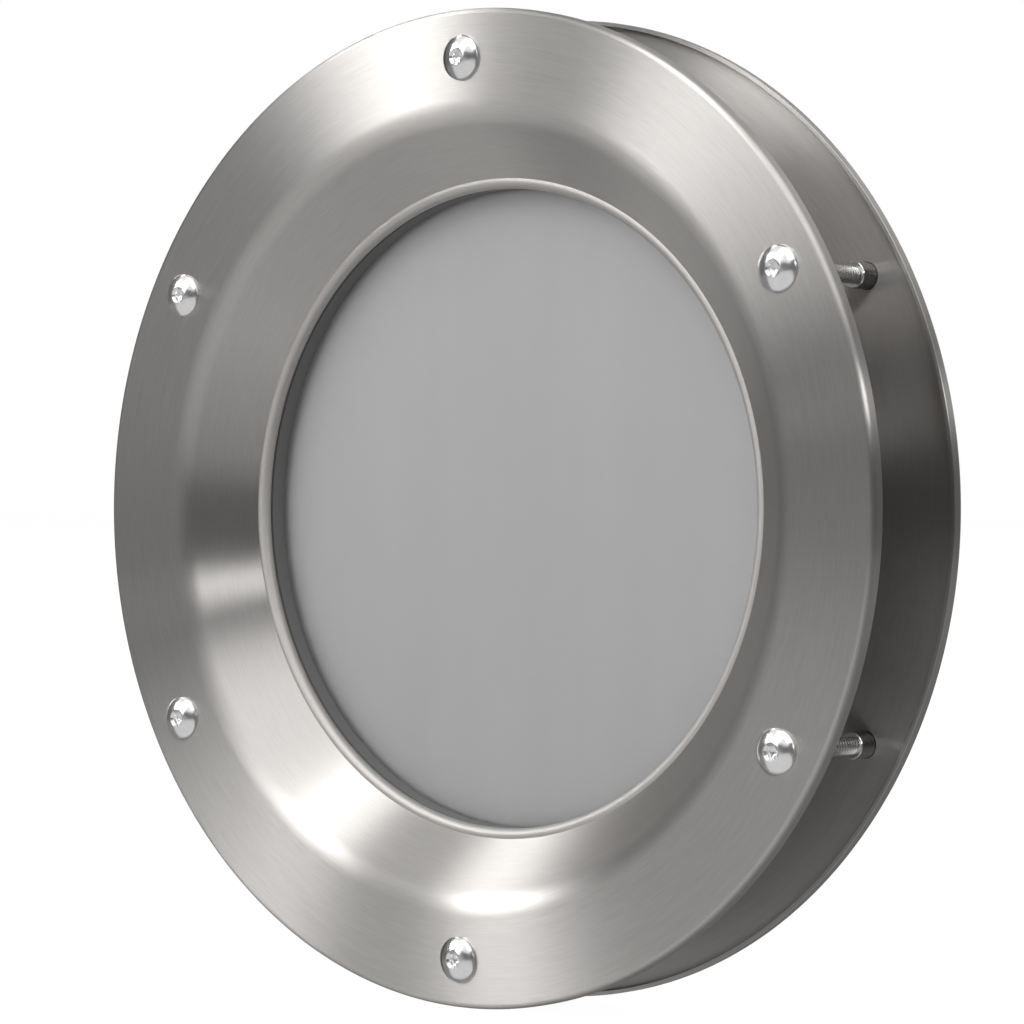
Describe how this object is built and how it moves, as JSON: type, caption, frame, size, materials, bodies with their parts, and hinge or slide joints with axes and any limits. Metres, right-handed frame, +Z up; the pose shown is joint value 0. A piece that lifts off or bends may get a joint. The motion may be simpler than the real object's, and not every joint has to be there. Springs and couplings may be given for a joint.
{
  "type": "porthole window",
  "caption": "Round porthole window for a door leaf: pressed steel rings clamped from both sides by domed socket screws in sleeve nuts, holding a satin glass pane between rubber seals.",
  "frame": {"origin": "on the window's axis, halfway through the door leaf, which is the centre of its box", "axes": "+Y along the window's axis from the screw side to the sleeve nut side, +Z up"},
  "size_m": [0.35, 0.0584, 0.35],
  "materials": {
    "ring_steel": "circumferentially brushed stainless steel",
    "polished_steel": "polished stainless steel",
    "satin_glass": "satin, grey",
    "seal_rubber": "matt dark grey rubber"
  },
  "bodies": {
    "root": {"front_ring": "ring_steel", "rear_ring": "ring_steel", "glass_pane": "satin_glass", "front_seal": "seal_rubber", "rear_seal": "seal_rubber", "screw_1": "polished_steel", "screw_2": "polished_steel", "screw_3": "polished_steel", "screw_4": "polished_steel", "screw_5": "polished_steel", "screw_6": "polished_steel", "sleeve_nut_1": "polished_steel", "sleeve_nut_2": "polished_steel", "sleeve_nut_3": "polished_steel", "sleeve_nut_4": "polished_steel", "sleeve_nut_5": "polished_steel", "sleeve_nut_6": "polished_steel"}
  },
  "joints": []
}
